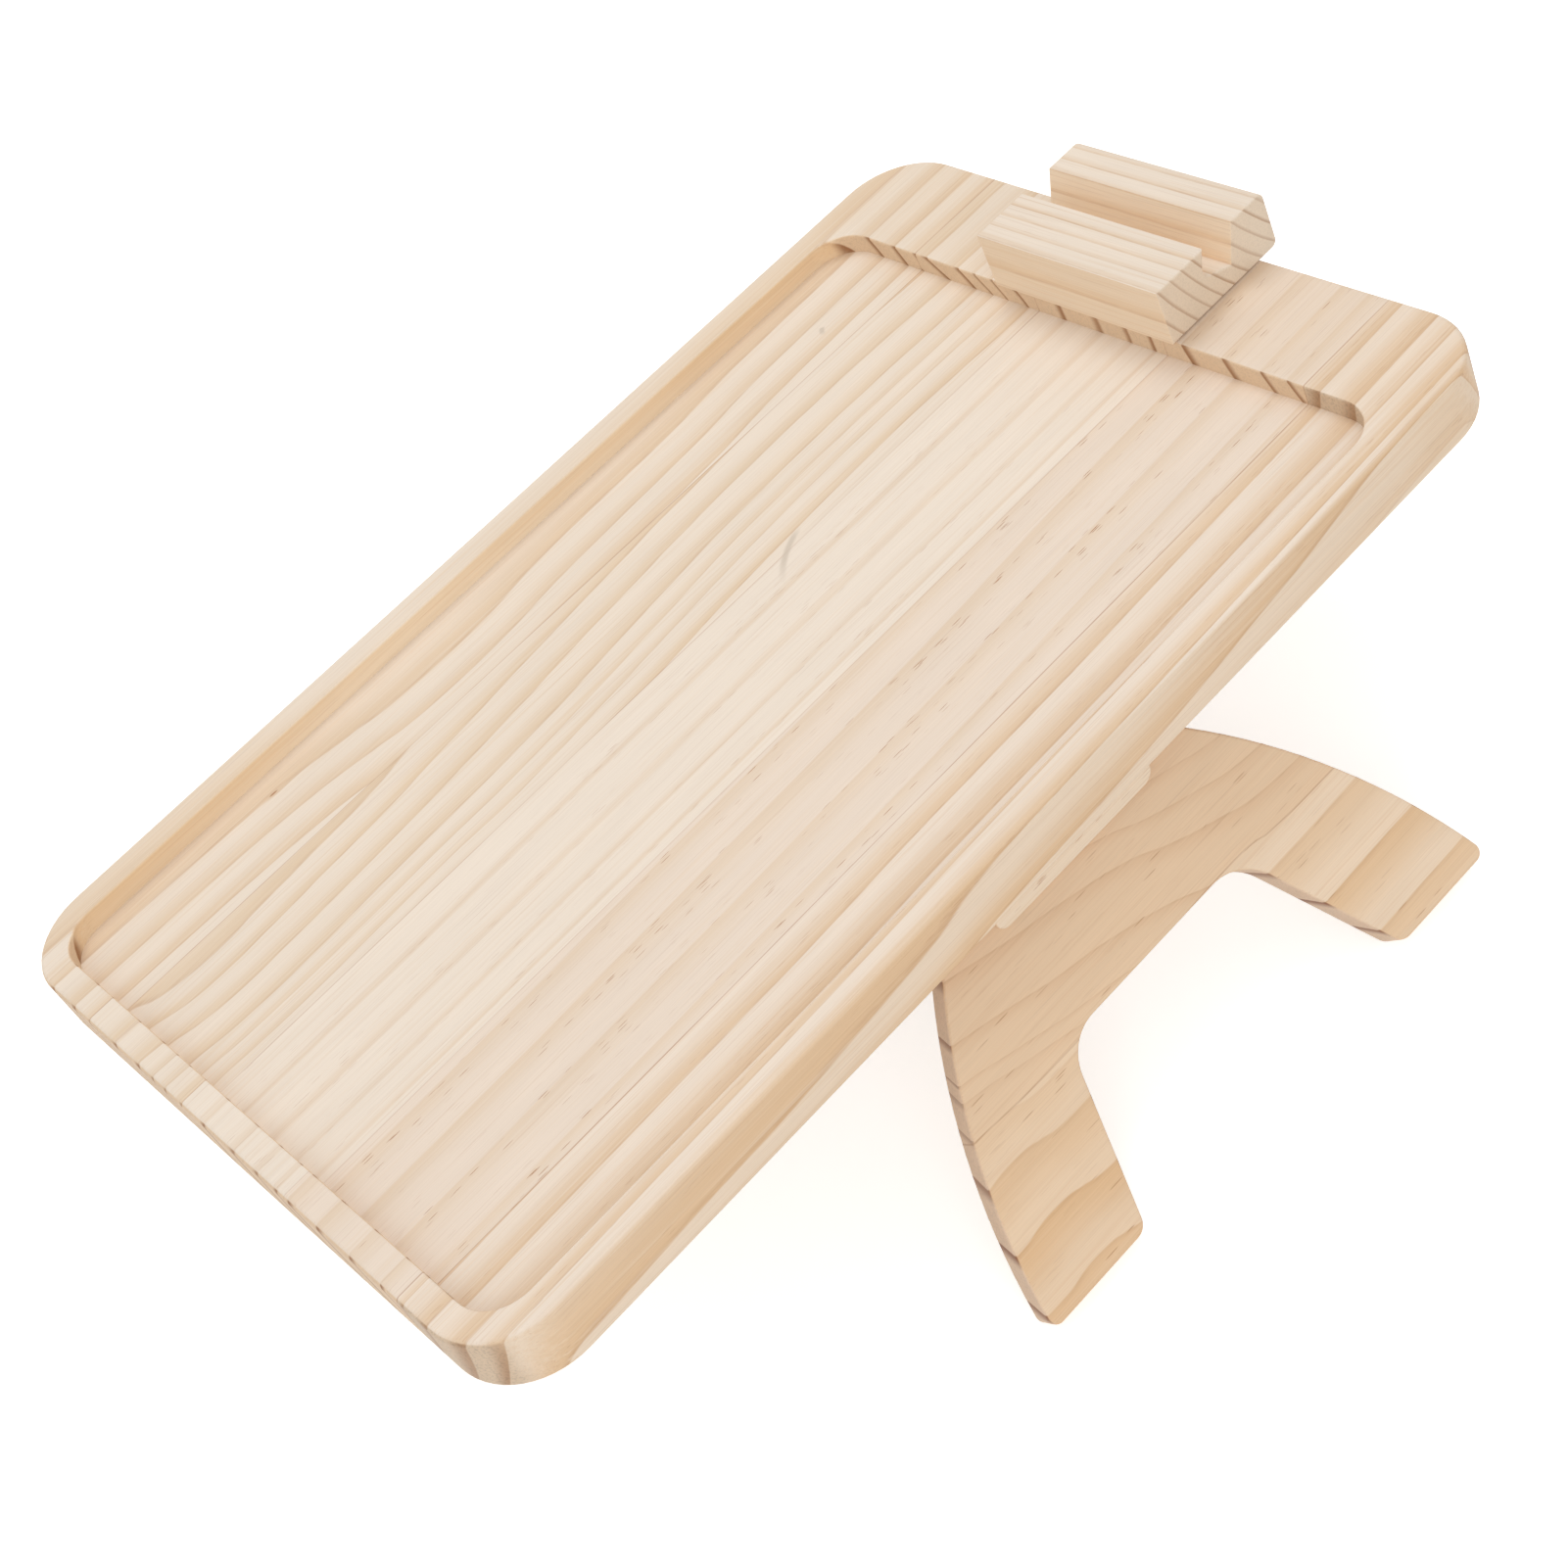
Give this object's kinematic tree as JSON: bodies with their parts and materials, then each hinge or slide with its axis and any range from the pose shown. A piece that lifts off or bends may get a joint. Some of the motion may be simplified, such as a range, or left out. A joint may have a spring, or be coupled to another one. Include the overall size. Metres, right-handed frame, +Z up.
{
  "type": "sofa arm tray",
  "caption": "Wooden sofa arm tray with a shallow recess, a turning slotted phone holder on its wide rim and hinged arch-shaped wings that straddle the arm.",
  "frame": {"origin": "middle of the tray's flat underside, the face that lies on a sofa arm", "axes": "+Z up out of the tray, +X along the tray towards the phone holder, +Y across it"},
  "size_m": [0.4073, 0.3492, 0.1214],
  "materials": {
    "tray_pine": "satin",
    "block_pine": "satin",
    "wing_pine": "satin",
    "batten_pine": "satin",
    "hinge_steel": "satin",
    "pin_steel": "satin",
    "screw_steel": "bright",
    "bolt_steel": "bright",
    "insert_brass": "satin"
  },
  "bodies": {
    "tray": {"left_rim_stave": "tray_pine", "left_stave": "tray_pine", "centre_stave": "tray_pine", "right_stave": "tray_pine", "right_rim_stave": "tray_pine", "left_stop_batten": "batten_pine", "left_batten_screws": "screw_steel", "left_hinge_tray_leaf": "hinge_steel", "left_hinge_tray_screws": "screw_steel", "left_hinge_pin": "pin_steel", "right_stop_batten": "batten_pine", "right_batten_screws": "screw_steel", "right_hinge_tray_leaf": "hinge_steel", "right_hinge_tray_screws": "screw_steel", "right_hinge_pin": "pin_steel", "pivot_washer": "bolt_steel"},
    "right_wing_body": {"right_wing": "wing_pine", "right_hinge_wing_leaf": "hinge_steel", "right_hinge_wing_screws": "screw_steel"},
    "left_wing_body": {"left_wing": "wing_pine", "left_hinge_wing_leaf": "hinge_steel", "left_hinge_wing_screws": "screw_steel"},
    "phone_holder": {"phone_holder_block": "block_pine", "pivot_insert": "insert_brass", "pivot_bolt": "bolt_steel"}
  },
  "joints": [
    {"name": "right_wing_hinge", "type": "hinge", "parent": "tray", "child": "right_wing_body", "pos_m": [0.008, -0.10268, -0.0026], "axis": [1, 0, 0], "range_deg": [0, 128]},
    {"name": "left_wing_hinge", "type": "hinge", "parent": "tray", "child": "left_wing_body", "pos_m": [0.008, 0.10268, -0.0026], "axis": [-1, 0, 0], "range_deg": [0, 128]},
    {"name": "phone_holder_swivel", "type": "hinge", "parent": "tray", "child": "phone_holder", "pos_m": [0.1828, 0, 0.0204], "axis": [0, 0, 1], "continuous": true}
  ]
}
